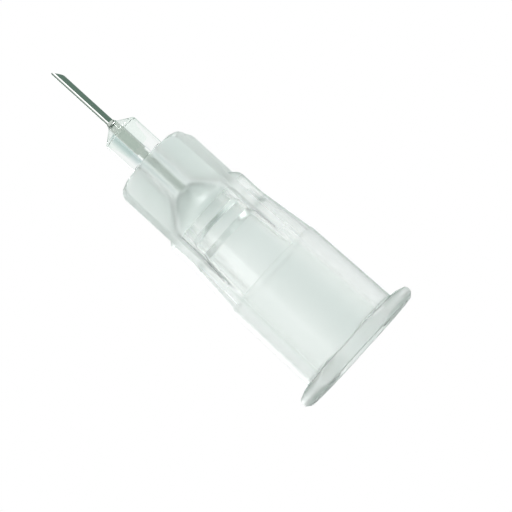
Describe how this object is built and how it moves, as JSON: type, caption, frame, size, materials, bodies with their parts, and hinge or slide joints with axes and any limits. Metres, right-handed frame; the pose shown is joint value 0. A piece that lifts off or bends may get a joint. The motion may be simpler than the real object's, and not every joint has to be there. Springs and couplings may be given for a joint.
{
  "type": "mesotherapy needle",
  "caption": "Short injection needle: a thin steel cannula with a lancet point, glued in a clear ribbed luer hub with a two-lug lock flange.",
  "frame": {"origin": "centre of the luer socket's mouth, on the plane that the hub stands on", "axes": "+Z along the needle's axis, from the socket to the point; +X through the middle of one lock lug; +Y across the flange's flats"},
  "size_m": [0.0078, 0.0062, 0.0208],
  "materials": {
    "hub_polypropylene": "clear moulded polypropylene, satin on the ribs and barrel, glossy on the nose",
    "cannula_steel": "electropolished stainless steel tube",
    "cured_adhesive": "clear cured adhesive, glossy"
  },
  "bodies": {
    "root": {"hub": "hub_polypropylene", "cannula": "cannula_steel", "adhesive": "cured_adhesive"}
  },
  "joints": []
}
